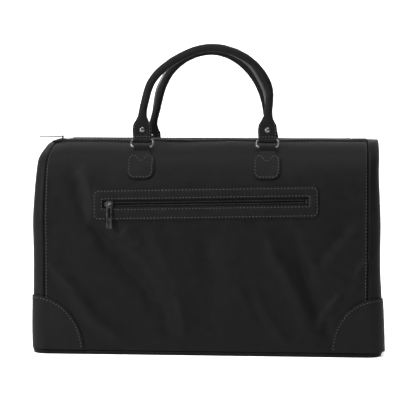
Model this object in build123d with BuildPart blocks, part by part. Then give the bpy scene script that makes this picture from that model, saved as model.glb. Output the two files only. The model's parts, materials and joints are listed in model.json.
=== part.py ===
"""Weekender bag: a soft body on a flat base, a zipped mouth along the top between two hinged bands, a
zipped front pocket, and two rolled handles hung on rectangular rings.

Frame: +Z up, +X to the right of someone facing the front, the front faces -Y. The origin is the centre
of the flat underside. Millimetres throughout.
"""

from build123d import *

import os
from functools import lru_cache
from math import asin, cos, degrees, radians, sin, sqrt

os.makedirs("parts", exist_ok=True)

# ---------------------------------------------------------------- driving dimensions
# body
base_half_width, belly_half_width, shoulder_half_width, top_half_width = 281, 281, 277, 259
base_half_depth, belly_half_depth, shoulder_half_depth, top_half_depth = 120, 129, 126, 44
belly_swell = ((0, 0), (18, 0.4), (55, 0.75), (90, 0.93), (125, 1), (165, 0.85))  # height, share
shoulder_z, top_z = 200, 344
corner_radius = 25
leather = 1.8
seam_x, seam_gap = 258, 0.2  # the end panels wrap round the upright corners as far as this seam
base_rim, piping_radius = 3.2, 2.0
panel_foot = base_rim + 2 * piping_radius
board_inset, board_thickness = 7, 3
lining_offset, lining_thickness = -7.4, 1.0

# mouth and main zip
mouth_half_width = 41  # also the hinge lines of the two bands
band_half_length, band_inner_edge, band_gap = 232, 10, 0.3
tape_thickness, tape_half_width = 0.8, 22
main_zip_z, main_zip_end = 339, 255
main_slider_park = 247
end_tab_drop = 1.4

# zip chain, slider and puller, shared by both zips
chain_gap, chain_half_width, chain_half_height = 0.8, 3.4, 1.2
slider_length, slider_width = 11.5, 10.4
plate_inside, plate_outside = 1.5, 3.0
bail_axis, bail_bar_radius, bail_half_span, bail_post = 6.2, 0.7, 3.0, 1.2
eye_radius, eye_width = 1.7, 4.4
puller_length, puller_width, puller_thickness = 36, 9, 1.6
puller_slot_length, puller_slot_width, fork_length, fork_width = 17, 3.4, 12, 1.4

# front pocket
pocket_z, pocket_tilt = 246, 1.2
frame_length, frame_height, frame_radius, frame_thickness = 360, 50, 8, 1.6
window_length, window_height, window_radius = 326, 12, 1.5
pocket_zip_depth, stop_length = 2.2, 3
pocket_bag_length, pocket_bag_height, pocket_bag_top = 344, 150, 14
pocket_bag_front, pocket_bag_back, pocket_bag_wall = -2.7, -6.6, 0.7

# handles, rings and chapes
handle_x, front_shift, back_shift = 101, -4, -7  # both handles are sewn a little to the left
ring_width, ring_height, ring_corner, ring_wire, ring_lean = 35, 12, 4, 1.5, 30
loop_outer, loop_inner, loop_stand_off = 4.4, 1.9, 4.8
front_loop_z, back_loop_z = 329, 311  # where the loops sit on the shoulder
chape_width, chape_drop, chape_thickness, chape_corner = 43, 46, 2.0, 12
neck_width, tab_width = 26, 29
grip_radius, core_radius = 6.25, 4.0
tab_height = 42.5  # from the ring's upper bar to where the rolled grip begins
# (height over the bar, width, thickness) of the tab's sections; the last one is inside the grip
tab_sections = ((2, 29, 6), (13, 31, 6.4), (24.5, 29, 7.2), (35.5, 17, 10), (46.5, 11.6, 11.6))
rivet_height, rivet_reach, rivet_cap = 16.5, 3.4, 1.6
rivet_head_radius, rivet_post_radius = 4.6, 1.6

# corner patches
patch_width, patch_height, patch_thickness, patch_foot = 80, 91, 1.5, 8.4

far = 400  # longer than any reach of the bag


# ---------------------------------------------------------------- the body's form
def shoulder_point(angle):
    """Half depth and height on the elliptical shoulder, and its outward normal, at an angle in degrees."""
    reach, rise = shoulder_half_depth - top_half_depth, top_z - shoulder_z
    depth = top_half_depth + reach * cos(radians(angle))
    height = shoulder_z + rise * sin(radians(angle))
    out, up = cos(radians(angle)) / reach, sin(radians(angle)) / rise
    size = sqrt(out * out + up * up)
    return depth, height, out / size, up / size


def shoulder_at(z):
    """The same, at a height."""
    return shoulder_point(degrees(asin((z - shoulder_z) / (top_z - shoulder_z))))


def body_sections(offset):
    """(height, half width, half depth) of the sections of the body's form, pushed out by an offset."""
    rows = []
    for height, swell in belly_swell:
        width = base_half_width + (belly_half_width - base_half_width) * swell
        depth = base_half_depth + (belly_half_depth - base_half_depth) * swell
        rows.append((max(height, -offset), width + offset, depth + offset))
    for angle in (0, 15, 30, 45, 58, 70, 80, 90):
        depth, height, out, up = shoulder_point(angle)
        spread = sqrt(max(cos(radians(angle)), 0))
        width = top_half_width + (shoulder_half_width - top_half_width) * spread
        rows.append((height + offset * up, width + offset, depth + offset * out))
    return rows


@lru_cache(maxsize=None)
def body_form(offset):
    """The closed form of the body, pushed out by an offset, with flat base and top."""
    with BuildPart() as form:
        for height, half_width, half_depth in body_sections(offset):
            with BuildSketch(Plane.XY.offset(height)):
                RectangleRounded(2 * half_width, 2 * half_depth, corner_radius + offset)
        loft()
    return form.part


@lru_cache(maxsize=None)
def skin(inner_offset, outer_offset):
    """A shell that follows the body between two offsets."""
    with BuildPart() as shell:
        add(body_form(outer_offset))
        add(body_form(inner_offset), mode=Mode.SUBTRACT)
    return shell.part


def block(x_span, y_span, z_span):
    """A box between two limits along each axis."""
    middle = [sum(span) / 2 for span in (x_span, y_span, z_span)]
    sizes = [span[1] - span[0] for span in (x_span, y_span, z_span)]
    return Pos(*middle) * Box(*sizes, mode=Mode.PRIVATE)


def rod(radius, length, middle):
    """A round bar along X."""
    return Pos(*middle) * Rot(0, 90, 0) * Cylinder(radius, length, mode=Mode.PRIVATE)


def one_side(side, near, farther):
    """A span on one side of zero, in rising order."""
    return tuple(sorted((side * near, side * farther)))


def save(piece, label):
    """Labels a finished piece and writes it."""
    piece.label = label
    export_step(piece, f"parts/{label}.step")


everywhere = (-far, far)
walls = skin(-leather, 0)

# ---------------------------------------------------------------- base
with BuildPart() as base_panel:
    add(walls)
    add(block(everywhere, everywhere, (-1, base_rim)), mode=Mode.INTERSECT)
save(base_panel.part, "base_panel")

with BuildPart() as base_board:
    with BuildSketch(Plane.XY.offset(leather + 0.3)):
        RectangleRounded(
            2 * (base_half_width - board_inset),
            2 * (base_half_depth - board_inset),
            corner_radius - board_inset,
        )
    extrude(amount=board_thickness)
save(base_board.part, "base_board")

with BuildPart() as base_piping:
    with BuildSketch(Plane.XY.offset(base_rim + piping_radius), mode=Mode.PRIVATE) as piping_line:
        RectangleRounded(2 * base_half_width - 1, 2 * base_half_depth - 1, corner_radius)
    piping_path = piping_line.sketch.face().outer_wire()
    with BuildSketch(Plane(origin=piping_path @ 0, z_dir=piping_path % 0)):
        Circle(piping_radius - 0.02)
    sweep(path=piping_path)
save(base_piping.part, "base_piping")

# ---------------------------------------------------------------- the front pocket's plane and window
pocket_depth, _, pocket_out, pocket_up = shoulder_at(pocket_z)
tilt_across, tilt_rise = cos(radians(pocket_tilt)), sin(radians(pocket_tilt))
pocket_plane = Plane(
    origin=(0, -pocket_depth, pocket_z),
    x_dir=(tilt_across, tilt_rise * pocket_up, tilt_rise * pocket_out),
    z_dir=(0, -pocket_out, pocket_up),
)
pocket_zip_plane = pocket_plane.offset(-pocket_zip_depth)


def pocket_block(length, height, radius, depth, drop=0):
    """A block with rounded corners that stands through the front in the pocket's plane."""
    with BuildPart() as piece:
        with BuildSketch(pocket_plane.offset(-depth)):
            with Locations((0, -drop)):
                RectangleRounded(length, height, radius)
        extrude(amount=2 * depth)
    return piece.part


window = pocket_block(window_length, window_height, window_radius, depth=10)

# ---------------------------------------------------------------- front and back panels
mouth = block(everywhere, (-mouth_half_width, mouth_half_width), (shoulder_z, far))

with BuildPart() as front_panel:
    add(walls)
    add(block((-seam_x, seam_x), (-far, 0), (panel_foot, far)), mode=Mode.INTERSECT)
    add(mouth, mode=Mode.SUBTRACT)
    add(window, mode=Mode.SUBTRACT)
save(front_panel.part, "front_panel")

with BuildPart() as back_panel:
    add(walls)
    add(block((-seam_x, seam_x), (0, far), (panel_foot, far)), mode=Mode.INTERSECT)
    add(mouth, mode=Mode.SUBTRACT)
save(back_panel.part, "back_panel")


# ---------------------------------------------------------------- end panels and corner patches
def corner_oval(plane, centre):
    """An oval about a bottom corner, as deep as the bag."""
    with BuildPart() as region:
        with BuildSketch(plane):
            with Locations(centre):
                Ellipse(patch_width, patch_height)
        extrude(amount=far, both=True)
    return region.part


for side, side_name in ((-1, "left"), (1, "right")):
    side_oval = corner_oval(Plane.XZ, (side * belly_half_width, 5))
    with BuildPart() as end_panel:
        add(walls)
        end_span = one_side(side, seam_x + seam_gap, far)
        add(block(end_span, everywhere, (panel_foot, far)), mode=Mode.INTERSECT)
    save(end_panel.part, f"{side_name}_end_panel")

    for face, face_name in ((-1, "front"), (1, "back")):
        face_oval = corner_oval(Plane.YZ, (face * belly_half_depth, 5))
        with BuildPart() as corner_patch:
            add(skin(0, patch_thickness))
            add(side_oval, mode=Mode.INTERSECT)
            add(face_oval, mode=Mode.INTERSECT)
            add(block(everywhere, everywhere, (patch_foot, far)), mode=Mode.INTERSECT)
        save(corner_patch.part, f"{face_name}_{side_name}_corner_patch")

# ---------------------------------------------------------------- lining
with BuildPart() as main_lining:
    add(skin(lining_offset - lining_thickness, lining_offset))
    lining_mouth = (tape_half_width + 14, top_half_width - 2)
    add(
        block((-lining_mouth[1], lining_mouth[1]), (-lining_mouth[0], lining_mouth[0]), (332, far)),
        mode=Mode.SUBTRACT,
    )
save(main_lining.part, "main_lining")


# ---------------------------------------------------------------- zips
def zip_strip(plane, along, across, thickness):
    """A straight strip of chain or tape in the zip's plane, centred on it in thickness."""
    with BuildPart() as strip:
        with BuildSketch(plane.offset(-thickness / 2)):
            with Locations((sum(along) / 2, sum(across) / 2)):
                Rectangle(along[1] - along[0], across[1] - across[0])
        extrude(amount=thickness)
    return strip.part


def zip_chain(plane, along, side):
    """The chain on one side of the zip's middle."""
    return zip_strip(plane, along, one_side(side, chain_gap, chain_half_width), 2 * chain_half_height)


def zip_tape(plane, along, side, edge):
    """The tape on one side, from the chain to its edge."""
    return zip_strip(plane, along, one_side(side, chain_half_width, edge), tape_thickness)


def zip_slider(plane, nose, bail_plane):
    """A slider about the middle of the chain: two plates, the post that parts the chain, side flanges
    and the bail that holds the puller. Its nose points along +x or -x of the plane."""
    with BuildPart() as body:
        for low in (-plate_outside, plate_inside):
            with BuildSketch(plane.offset(low)):
                RectangleRounded(slider_length, slider_width, 3)
            extrude(amount=plate_outside - plate_inside)
        with BuildSketch(plane.offset(-plate_inside)):
            with Locations((nose * 4.2, 0)):
                RectangleRounded(2.6, 1.0, 0.45)
        extrude(amount=2 * plate_inside)
        for low in (-plate_inside, tape_thickness):
            with BuildSketch(plane.offset(low)):
                with Locations((0, -4.65), (0, 4.65)):
                    Rectangle(9, 1.5)
            extrude(amount=plate_inside - tape_thickness)
        post_x = bail_half_span + bail_post / 2
        with BuildSketch(bail_plane.offset(plate_outside)):
            with Locations((-post_x, 0), (post_x, 0)):
                RectangleRounded(bail_post, 2.0, 0.4)
        extrude(amount=bail_axis + bail_bar_radius - plate_outside)
        bar_start = bail_plane.from_local_coords((-bail_half_span, 0, bail_axis))
        with BuildSketch(Plane(origin=bar_start, z_dir=bail_plane.x_dir)):
            Circle(bail_bar_radius)
        extrude(amount=2 * bail_half_span)
    return body.part


def zip_puller(bail_plane, lean=0):
    """A puller that lies along -y of the bail's plane: an eye, a slotted frame and a forked tail."""
    eye_start = bail_plane.from_local_coords((-eye_width / 2, 0, bail_axis))
    eye_plane = Plane(origin=eye_start, z_dir=bail_plane.x_dir)
    with BuildPart() as tab:
        with BuildSketch(bail_plane.offset(bail_axis - puller_thickness / 2)):
            with Locations((0, -2.4)):
                Rectangle(eye_width, 3.2)
            with Locations(Location((0, -3.2, 0), (0, 0, lean))):
                with Locations((0, -puller_length / 2)):
                    RectangleRounded(puller_width, puller_length - 0.4, 1.8)
                with Locations((0, -3 - puller_slot_length / 2)):
                    SlotOverall(puller_slot_length, puller_slot_width, rotation=90, mode=Mode.SUBTRACT)
                with Locations((0, -puller_length + fork_length / 2 - 1)):
                    Rectangle(fork_width, fork_length, mode=Mode.SUBTRACT)
        extrude(amount=puller_thickness)
        with BuildSketch(eye_plane):
            Circle(eye_radius)
        extrude(amount=eye_width)
        with BuildSketch(eye_plane.offset(-1)):
            Circle(bail_bar_radius + 0.15)
        extrude(amount=eye_width + 2, mode=Mode.SUBTRACT)
    return tab.part


# each band carries its own tape and chain; short fixed stretches close the two ends of the mouth
main_plane = Plane(origin=(0, 0, main_zip_z), x_dir=(1, 0, 0), z_dir=(0, 0, 1))
band_span = (-band_half_length, band_half_length)
band_under = main_zip_z + tape_thickness / 2
end_chains, end_tapes = [], []
for face, face_name in ((-1, "front"), (1, "back")):
    save(zip_chain(main_plane, band_span, face), f"{face_name}_zip_chain")
    save(zip_tape(main_plane, band_span, face, tape_half_width), f"{face_name}_zip_tape")
    across = one_side(face, band_inner_edge, mouth_half_width - band_gap)
    save(block(band_span, across, (band_under, top_z)), f"{face_name}_top_band")
    for side in (-1, 1):
        along = one_side(side, band_half_length + 1, main_zip_end)
        end_chains.append(zip_chain(main_plane, along, face))
        end_tapes.append(zip_tape(main_plane, along, face, tape_half_width))
save(Compound(children=end_chains), "zip_chain_ends")
save(Compound(children=end_tapes), "zip_tape_ends")

for side, side_name in ((-1, "left"), (1, "right")):
    tab_across = mouth_half_width - band_gap
    tab_span = one_side(side, band_half_length + 1, seam_x)
    slot_span = one_side(side, band_half_length, main_zip_end + 0.4)
    with BuildPart() as end_tab:
        add(block(tab_span, (-tab_across, tab_across), (band_under, top_z - end_tab_drop)))
        slot = block(slot_span, (-band_inner_edge, band_inner_edge), (band_under - 1, far))
        add(slot, mode=Mode.SUBTRACT)
    save(end_tab.part, f"{side_name}_zip_end_tab")

parked_at = (-main_slider_park, 0, main_zip_z)
parked_plane = Plane(origin=parked_at, x_dir=(1, 0, 0), z_dir=(0, 0, 1))
parked_bail = Plane(origin=parked_at, x_dir=(0, -1, 0), z_dir=(0, 0, 1))
save(zip_slider(parked_plane, -1, parked_bail), "main_zip_slider")
save(zip_puller(parked_bail), "main_zip_puller")

# ---------------------------------------------------------------- front pocket
with BuildPart() as pocket_frame:
    add(skin(0, frame_thickness))
    add(pocket_block(frame_length, frame_height, frame_radius, depth=20), mode=Mode.INTERSECT)
    add(window, mode=Mode.SUBTRACT)
save(pocket_frame.part, "pocket_frame")

zip_half = window_length / 2 - 1
chain_span = (-zip_half + stop_length, zip_half - stop_length)
for side, side_name in ((-1, "lower"), (1, "upper")):
    save(zip_chain(pocket_zip_plane, chain_span, side), f"pocket_zip_{side_name}_chain")
    tape = zip_tape(pocket_zip_plane, chain_span, side, window_height / 2 - 0.3)
    save(tape, f"pocket_zip_{side_name}_tape")

with BuildPart() as pocket_zip_stops:
    with BuildSketch(pocket_zip_plane.offset(-chain_half_height)):
        with Locations((-zip_half + stop_length / 2, 0), (zip_half - stop_length / 2, 0)):
            RectangleRounded(stop_length - 0.2, 2 * chain_half_width, 0.6)
    extrude(amount=2 * chain_half_height)
save(pocket_zip_stops.part, "pocket_zip_stops")

pocket_slider_x = chain_span[0] + slider_length / 2 + 0.5
pocket_slider_plane = Plane(
    origin=pocket_zip_plane.from_local_coords((pocket_slider_x, 0, 0)),
    x_dir=pocket_zip_plane.x_dir,
    z_dir=pocket_zip_plane.z_dir,
)
save(zip_slider(pocket_slider_plane, -1, pocket_slider_plane), "pocket_zip_slider")
save(zip_puller(pocket_slider_plane), "pocket_zip_puller")

bag_drop = pocket_bag_height / 2 - pocket_bag_top
bag_inset = 4
with BuildPart() as pocket_hollow:
    add(skin(pocket_bag_back + pocket_bag_wall, pocket_bag_front - pocket_bag_wall))
    hollow_region = pocket_block(
        pocket_bag_length - bag_inset, pocket_bag_height - bag_inset, 4, depth=40, drop=bag_drop
    )
    add(hollow_region, mode=Mode.INTERSECT)
with BuildPart() as pocket_slit:
    with BuildSketch(pocket_plane.offset(-5.5)):
        RectangleRounded(window_length + 1, window_height + 1, window_radius)
    extrude(amount=10)
with BuildPart() as pocket_bag:
    add(skin(pocket_bag_back, pocket_bag_front))
    bag_region = pocket_block(pocket_bag_length, pocket_bag_height, 6, depth=40, drop=bag_drop)
    add(bag_region, mode=Mode.INTERSECT)
    add(pocket_hollow.part, mode=Mode.SUBTRACT)
    add(pocket_slit.part, mode=Mode.SUBTRACT)
save(pocket_bag.part, "pocket_bag")


# ---------------------------------------------------------------- handles, rings and chapes
def ring_bars(face, loop_z):
    """(y, z) of a ring's lower bar, in the chape's loop, and of its upper bar, in the handle's loop."""
    depth, height, out, up = shoulder_at(loop_z)
    lower = (face * (depth + loop_stand_off * out), height + loop_stand_off * up)
    lean = radians(ring_lean)
    upper = (lower[0] - face * ring_height * sin(lean), lower[1] + ring_height * cos(lean))
    return lower, upper


def chape(face, x, loop_z):
    """The leather piece sewn to the body, with the loop that holds the ring's lower bar."""
    (y, z), _ = ring_bars(face, loop_z)
    patch_top, patch_bottom = loop_z - 4, loop_z - chape_drop
    with BuildPart() as outline:
        with BuildSketch(Plane.XZ):
            with Locations((x, (patch_top + patch_bottom) / 2)):
                RectangleRounded(chape_width, patch_top - patch_bottom, chape_corner)
            with Locations((x, loop_z - 8)):
                Rectangle(neck_width, 20)
        extrude(amount=-face * far)
    root_depth, root_z, _, _ = shoulder_at(loop_z - 12)
    with BuildPart() as piece:
        add(skin(0, chape_thickness))
        add(outline.part, mode=Mode.INTERSECT)
        with BuildSketch(Plane.YZ.offset(x - neck_width / 2)):
            with BuildLine():
                Polyline(
                    (face * (root_depth - 1), root_z),
                    (face * (root_depth + 2), root_z + 1),
                    (y + face * 3.2, z - 3.0),
                    (y - face * 2.6, z - 3.4),
                    (face * (root_depth - 12), z - 5),
                    close=True,
                )
            make_face()
        extrude(amount=neck_width)
        add(rod(loop_outer, neck_width, (x, y, z)))
        add(rod(loop_inner, neck_width + 2, (x, y, z)), mode=Mode.SUBTRACT)
        add(body_form(0), mode=Mode.SUBTRACT)
    return piece.part


def ring(face, x, loop_z):
    """A rectangular ring of round wire, with rounded corners."""
    (y0, z0), (y1, z1) = ring_bars(face, loop_z)
    middle = (x, (y0 + y1) / 2, (z0 + z1) / 2)
    ring_plane = Plane(origin=middle, x_dir=(1, 0, 0), z_dir=(0, z1 - z0, y0 - y1))
    with BuildPart() as piece:
        with BuildSketch(ring_plane, mode=Mode.PRIVATE) as line:
            RectangleRounded(ring_width, ring_height, ring_corner)
        path = line.sketch.face().outer_wire()
        with BuildSketch(Plane(origin=path @ 0, z_dir=path % 0)):
            Circle(ring_wire)
        sweep(path=path)
    return piece.part


def grip_line(y, corners, radii):
    """The centre line of the rolled grip in an upright plane: straight runs joined by large arcs."""
    with BuildLine(Plane(origin=(0, y, 0), x_dir=(1, 0, 0), z_dir=(0, -1, 0))) as line:
        FilletPolyline(*corners, radius=radii)
    return line.wire()


def round_bar(path, radius):
    """A round bar along a path."""
    with BuildPart() as bar:
        with BuildSketch(Plane(origin=path @ 0, z_dir=path % 0)):
            Circle(radius)
        sweep(path=path)
    return bar.part


def flared_tab(x_foot, x_grip, y, z):
    """The flat flared end of the handle leather, from the ring's upper bar to the rolled grip."""
    with BuildPart() as tab:
        for rise, width, thickness in tab_sections:
            shift = x_foot + (x_grip - x_foot) * (rise / tab_height) ** 2
            with BuildSketch(Plane(origin=(shift, y, z + rise))):
                RectangleRounded(width, thickness, thickness / 2 - 0.1)
        loft()
    return tab.part


def handle_leather(y, z, feet, path):
    """The rolled grip and its two flared tabs, each folded round a ring's upper bar."""
    with BuildPart() as piece:
        add(round_bar(path, grip_radius))
        for x_foot, x_grip in feet:
            add(flared_tab(x_foot, x_grip, y, z))
            add(rod(loop_outer, tab_width, (x_foot, y, z)))
            add(rod(loop_inner, tab_width + 6, (x_foot, y, z)), mode=Mode.SUBTRACT)
            post_hole = Cylinder(rivet_post_radius, 20, mode=Mode.PRIVATE)
            add(Pos(x_foot, y, z + rivet_height) * Rot(90, 0, 0) * post_hole, mode=Mode.SUBTRACT)
        add(round_bar(path, core_radius + 0.05), mode=Mode.SUBTRACT)
    return piece.part


def rivet(x, y, z):
    """A double-cap rivet through a tab, along Y."""
    with BuildPart(Plane(origin=(x, y, z), x_dir=(1, 0, 0), z_dir=(0, -1, 0))) as piece:
        Cylinder(rivet_head_radius, 2 * (rivet_reach + rivet_cap))
        fillet(piece.edges().filter_by(GeomType.CIRCLE), rivet_cap * 0.6)
        Cylinder(rivet_head_radius + 1, 2 * rivet_reach, mode=Mode.SUBTRACT)
        Cylinder(rivet_post_radius, 2 * rivet_reach + 1)
    return piece.part


def arch(left_x, right_x, grip_z, crown):
    """Corner points of a handle's grip, from its left tab over the crown to its right tab."""
    return [(left_x, grip_z), *crown, (right_x, grip_z)]


front_crown = [(-97, 428), (-63, 468), (2, 495), (65, 475), (95, 422)]
back_crown = [(-98, 422), (-72, 471), (-10, 490), (48, 475), (80, 424)]
for face, face_name, loop_z, shift, ends, crown, radii in (
    (-1, "front", front_loop_z, front_shift, (-106, 98), front_crown, [70, 60, 80, 75, 80]),
    (1, "back", back_loop_z, back_shift, (-106, 91), back_crown, [70, 60, 70, 60, 90]),
):
    _, (bar_y, bar_z) = ring_bars(face, loop_z)
    grip = grip_line(bar_y, arch(ends[0], ends[1], bar_z + tab_height, crown), radii)
    feet = ((shift - handle_x, ends[0]), (shift + handle_x, ends[1]))
    save(handle_leather(bar_y, bar_z, feet, grip), f"{face_name}_handle")
    save(round_bar(grip, core_radius), f"{face_name}_handle_core")
    for side, side_name in ((-1, "left"), (1, "right")):
        foot_x = shift + side * handle_x
        save(chape(face, foot_x, loop_z), f"{face_name}_{side_name}_chape")
        save(ring(face, foot_x, loop_z), f"{face_name}_{side_name}_ring")
        save(rivet(foot_x, bar_y, bar_z + rivet_height), f"{face_name}_{side_name}_rivet")
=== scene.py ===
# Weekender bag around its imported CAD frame: leather panels with their folds, trim, stitching, zips,
# handles and hardware. Shapes are worked out in mm and scaled to metres as their vertices are placed.
import json
from math import asin, cos, exp, hypot, pi, radians, sin, sqrt

import bmesh
import bpy
from mathutils import Matrix, Vector, noise


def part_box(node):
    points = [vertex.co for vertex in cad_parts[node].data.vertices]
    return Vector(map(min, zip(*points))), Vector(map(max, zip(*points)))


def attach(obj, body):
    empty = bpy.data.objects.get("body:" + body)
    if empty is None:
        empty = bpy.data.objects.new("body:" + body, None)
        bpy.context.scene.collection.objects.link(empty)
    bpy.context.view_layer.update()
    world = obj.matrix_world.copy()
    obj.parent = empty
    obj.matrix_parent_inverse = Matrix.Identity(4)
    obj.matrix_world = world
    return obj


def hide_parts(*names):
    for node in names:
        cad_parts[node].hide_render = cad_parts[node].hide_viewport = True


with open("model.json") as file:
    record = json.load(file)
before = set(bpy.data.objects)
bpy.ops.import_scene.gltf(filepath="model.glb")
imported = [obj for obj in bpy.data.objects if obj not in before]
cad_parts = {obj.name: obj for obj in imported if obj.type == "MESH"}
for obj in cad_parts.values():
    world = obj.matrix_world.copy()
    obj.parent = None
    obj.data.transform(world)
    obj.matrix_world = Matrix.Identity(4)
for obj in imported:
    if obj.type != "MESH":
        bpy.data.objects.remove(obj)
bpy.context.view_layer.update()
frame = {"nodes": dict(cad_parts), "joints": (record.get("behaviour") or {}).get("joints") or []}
mm = 0.001
faces = ((-1, "front"), (1, "back"))
sides = ((-1, "left"), (1, "right"))
print("frame loaded:", len(frame["nodes"]), "nodes")


def smooth(edge0, edge1, value):
    t = min(max((value - edge0) / (edge1 - edge0), 0.0), 1.0)
    return t * t * (3 - 2 * t)


def bump(distance, width):
    return exp(-(distance / width) ** 2)


def signedPower(value, power):
    # squares off a circle's sine or cosine as the power falls below 1
    return abs(value) ** power * (1 if value >= 0 else -1)


def addObject(name, mesh, material, body, replaced=()):
    obj = bpy.data.objects.new(name, mesh)
    bpy.context.scene.collection.objects.link(obj)
    mesh.materials.clear()
    mesh.materials.append(material)
    for face in mesh.polygons:
        face.use_smooth = True
    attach(obj, body)
    if replaced:
        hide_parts(*replaced)
    return obj


def meshFrom(bm, name, recalc=True):
    if recalc:
        bmesh.ops.recalc_face_normals(bm, faces=bm.faces)
    mesh = bpy.data.meshes.new(name)
    bm.to_mesh(mesh)
    bm.free()
    return mesh


def giveThickness(obj, thickness, outwardShare=0.0, rim=0.0):
    solid = obj.modifiers.new("thickness", "SOLIDIFY")
    solid.thickness = thickness
    solid.offset = outwardShare * 2 - 1
    solid.use_even_offset = False
    if rim:
        edge = obj.modifiers.new("rim", "BEVEL")
        edge.width = rim
        edge.segments = 2
        edge.limit_method = "ANGLE"
        edge.angle_limit = radians(50)


def newMaterial(name):
    material = bpy.data.materials.new(name)
    material.use_nodes = True
    tree = material.node_tree
    place = tree.nodes.new("ShaderNodeTexCoord").outputs["Object"]
    return material, tree, tree.nodes["Principled BSDF"].inputs, place


def addNode(tree, kind, wires=(), **values):
    # values are input names or node settings, wires are (input, output that feeds it)
    node = tree.nodes.new(kind)
    for key, value in values.items():
        if key in node.inputs.keys():
            node.inputs[key].default_value = value
        else:
            setattr(node, key, value)
    for key, source in wires:
        tree.links.new(source, node.inputs[key])
    return node


def ramp(tree, source, stops, target=None):
    node = addNode(tree, "ShaderNodeValToRGB", [("Fac", source)])
    elements = node.color_ramp.elements
    while len(elements) < len(stops):
        elements.new(0.5)
    for element, (place, value) in zip(elements, stops):
        element.position = place
        element.color = (value, value, value, 1) if isinstance(value, float) else (*value, 1)
    if target is not None:
        tree.links.new(node.outputs["Color"], target)
    return node.outputs["Color"]


def addBump(tree, source, shader, strength, distance):
    node = addNode(tree, "ShaderNodeBump", [("Height", source)], Strength=strength, Distance=distance)
    tree.links.new(node.outputs["Normal"], shader["Normal"])


def multiplyAdd(tree, source, factor, added):
    node = addNode(tree, "ShaderNodeMath", [(0, source), (2, added)], operation="MULTIPLY_ADD")
    node.inputs[1].default_value = factor
    return node.outputs[0]


leatherLook = {
    "grainSize": 1.15 * mm,
    "creaseSize": 16 * mm,
    "grainDepth": 0.10 * mm,
    "dark": (0.0046, 0.0046, 0.0048),
    "light": (0.0074, 0.0074, 0.0076),
    "roughness": (0.50, 0.62),
    "specular": 0.06,
    "bump": 0.55,
    "fineShare": 0.35,
    "creaseShare": 2.0,
}


def makeLeather(name, look, shift=0.0):
    material, tree, shader, place = newMaterial(name)
    grainScale = 1 / look["grainSize"]
    fine = addNode(tree, "ShaderNodeTexNoise", [("Vector", place)], Scale=2.6 * grainScale, Detail=2.0)
    warp = addNode(tree, "ShaderNodeTexNoise", [("Vector", place)], Scale=0.5 * grainScale, Detail=2.0)
    crease = addNode(tree, "ShaderNodeTexNoise", [("Vector", place)], Scale=1 / look["creaseSize"],
                     Detail=5.0, Roughness=0.62).outputs["Fac"]
    warped = addNode(tree, "ShaderNodeVectorMath", [(0, warp.outputs["Color"]), (2, place)],
                     operation="MULTIPLY_ADD")
    warped.inputs[1].default_value = (look["grainSize"] * 0.5,) * 3
    grain = addNode(tree, "ShaderNodeTexVoronoi", [("Vector", warped.outputs[0])],
                    feature="DISTANCE_TO_EDGE", Scale=grainScale)
    cell = ramp(tree, grain.outputs["Distance"], [(0.0, 0.0), (0.22, 1.0)])
    height = multiplyAdd(tree, fine.outputs["Fac"], look["fineShare"], cell)
    height = multiplyAdd(tree, crease, look["creaseShare"], height)
    addBump(tree, height, shader, look["bump"], look["grainDepth"])
    toneShare = ramp(tree, crease, [(0.3, 0.0), (0.72, 1.0)])
    tone = addNode(tree, "ShaderNodeMix", data_type="RGBA")
    tone.inputs["A"].default_value = (*[c + shift for c in look["dark"]], 1)
    tone.inputs["B"].default_value = (*[c + shift for c in look["light"]], 1)
    tree.links.new(toneShare, tone.inputs["Factor"])
    tree.links.new(tone.outputs["Result"], shader["Base Color"])
    lowRough, highRough = look["roughness"]
    ramp(tree, crease, [(0.25, lowRough), (0.75, highRough)], shader["Roughness"])
    shader["Specular IOR Level"].default_value = look["specular"]
    return material


weaveLook = {
    "threadSize": 0.55 * mm, "dark": 0.003, "light": 0.009, "depth": 0.12 * mm, "bump": 0.6,
    "roughness": 0.9, "sheen": 0.03, "specular": 0.1, "waver": 0.6,
}


def makeWeave(name, look, lift=1.0):
    material, tree, shader, place = newMaterial(name)
    waves = [addNode(tree, "ShaderNodeTexWave", [("Vector", place)], bands_direction=axis,
                     Scale=0.5 / look["threadSize"], Distortion=look["waver"]).outputs["Fac"]
             for axis in ("X", "Z")]
    weave = addNode(tree, "ShaderNodeMath", enumerate(waves), operation="MULTIPLY").outputs[0]
    ramp(tree, weave, [(0.0, look["dark"] * lift), (1.0, look["light"] * lift)], shader["Base Color"])
    addBump(tree, weave, shader, look["bump"], look["depth"])
    shader["Roughness"].default_value = look["roughness"]
    shader["Sheen Weight"].default_value = look["sheen"]
    shader["Specular IOR Level"].default_value = look["specular"]
    return material


threadLook = {"twist": 2500.0, "tint": (0.034, 0.058), "roughness": 0.38}


def makeThread(name, look):
    material, tree, shader, place = newMaterial(name)
    twist = addNode(tree, "ShaderNodeTexNoise", [("Vector", place)], Scale=look["twist"], Detail=1.0)
    ramp(tree, twist.outputs["Fac"], list(zip((0.3, 0.7), look["tint"])), shader["Base Color"])
    shader["Roughness"].default_value = look["roughness"]
    return material


plasticLook = {"speck": 900.0, "tint": (0.008, 0.016), "roughness": (0.30, 0.42)}


def makePlastic(name, look):
    material, tree, shader, place = newMaterial(name)
    speck = addNode(tree, "ShaderNodeTexNoise", [("Vector", place)], Scale=look["speck"], Detail=2.0)
    ramp(tree, speck.outputs["Fac"], list(zip((0.3, 0.7), look["tint"])), shader["Base Color"])
    ramp(tree, speck.outputs["Fac"], list(zip((0.3, 0.7), look["roughness"])), shader["Roughness"])
    return material


metalLook = {
    "worn": (0.11, 0.11, 0.113), "tint": (0.16, 0.16, 0.164), "roughness": (0.24, 0.38),
    "smudge": 140.0, "scratch": 1600.0, "bump": 0.12, "scratchDepth": 0.02 * mm,
}


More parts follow.
